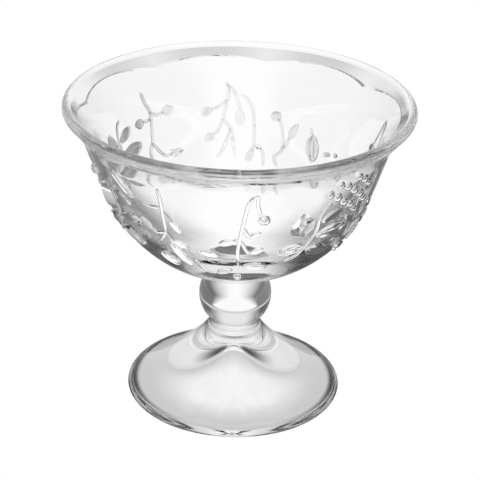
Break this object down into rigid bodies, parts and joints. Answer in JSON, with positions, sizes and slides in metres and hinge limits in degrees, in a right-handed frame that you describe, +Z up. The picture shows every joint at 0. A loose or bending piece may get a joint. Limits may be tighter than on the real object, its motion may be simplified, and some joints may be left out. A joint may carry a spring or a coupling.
{
  "type": "dessert glass",
  "caption": "Footed dessert glass of clear pressed glass: a flared bowl with raised leafy sprigs under an arched band, a ball knop and a hollow round foot.",
  "frame": {"origin": "centre of the foot's standing ring, on the table and on the glass's axis", "axes": "+Z up along the axis through foot, knop and bowl; -Y is the side that faces the camera in the picture"},
  "size_m": [0.108, 0.108, 0.1],
  "materials": {
    "clear_glass": "fire-polished, clear and glossy"
  },
  "bodies": {
    "root": {"bowl": "clear_glass", "knop": "clear_glass", "foot": "clear_glass"}
  },
  "joints": []
}
